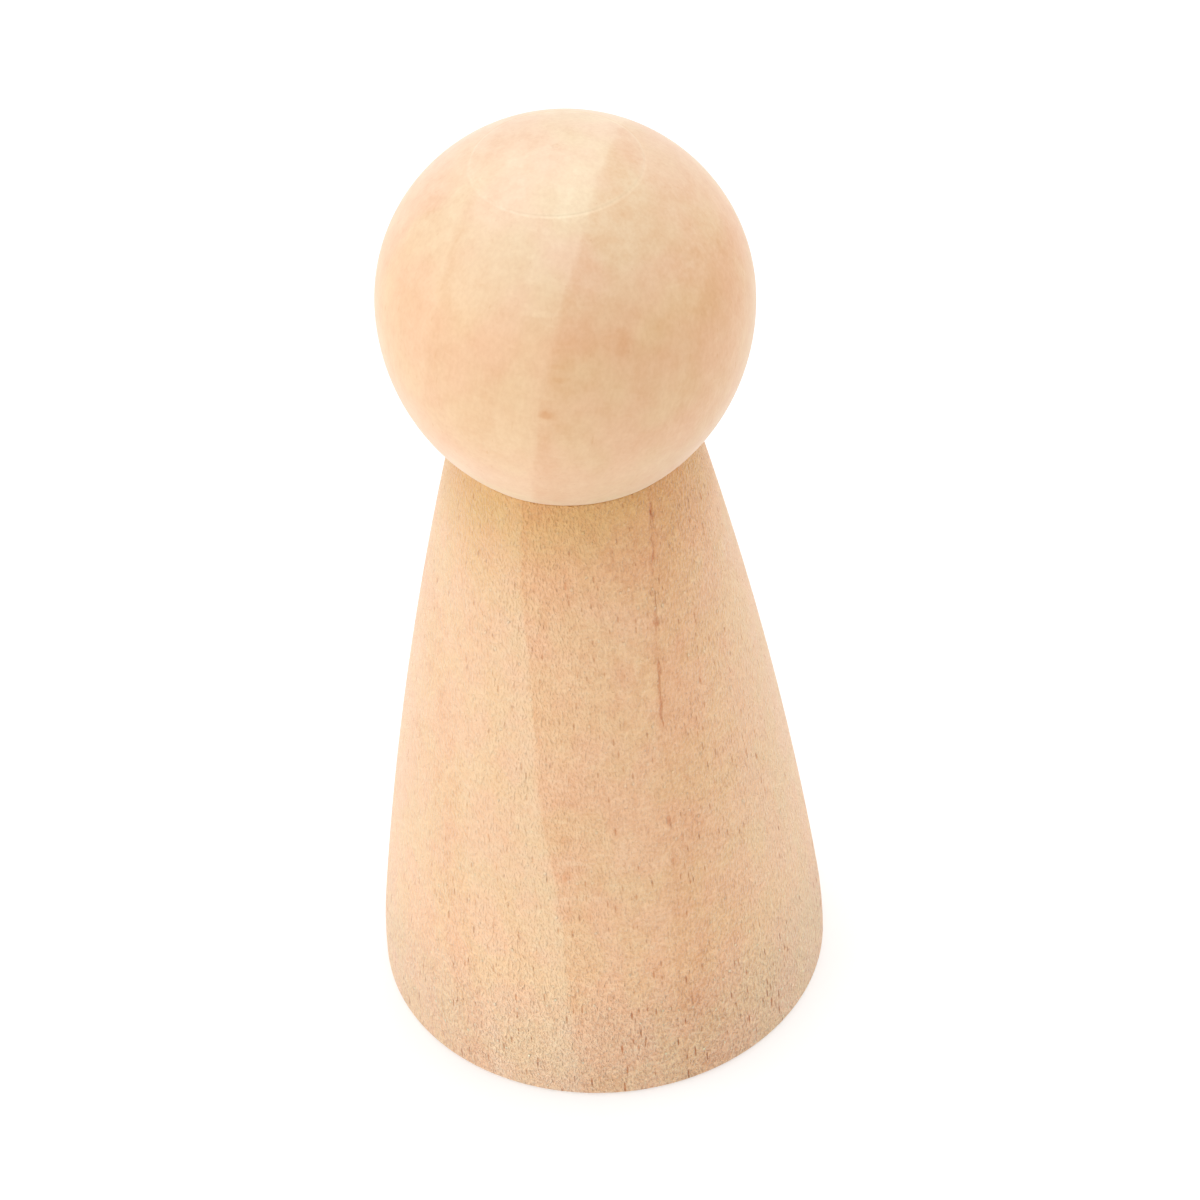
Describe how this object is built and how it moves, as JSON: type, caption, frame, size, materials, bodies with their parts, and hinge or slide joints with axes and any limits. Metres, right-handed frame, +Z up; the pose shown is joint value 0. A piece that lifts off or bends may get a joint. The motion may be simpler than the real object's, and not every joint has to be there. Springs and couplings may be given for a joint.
{
  "type": "peg doll",
  "caption": "Plain turned wooden peg doll: a ball head pinned and glued to a tapered round body with a flat base.",
  "frame": {"origin": "centre of the flat base, on the surface that the doll stands on", "axes": "+Z up the turning axis, from the base to the crown; X and Y are free, because the doll is round"},
  "size_m": [0.027, 0.027, 0.06],
  "materials": {
    "body_wood": "turned and sanded, unfinished, open pores",
    "head_wood": "turned and finely sanded, unfinished",
    "dowel_wood": "rolled and fluted, unfinished"
  },
  "bodies": {
    "root": {"body": "body_wood", "head": "head_wood", "neck_dowel": "dowel_wood"}
  },
  "joints": []
}
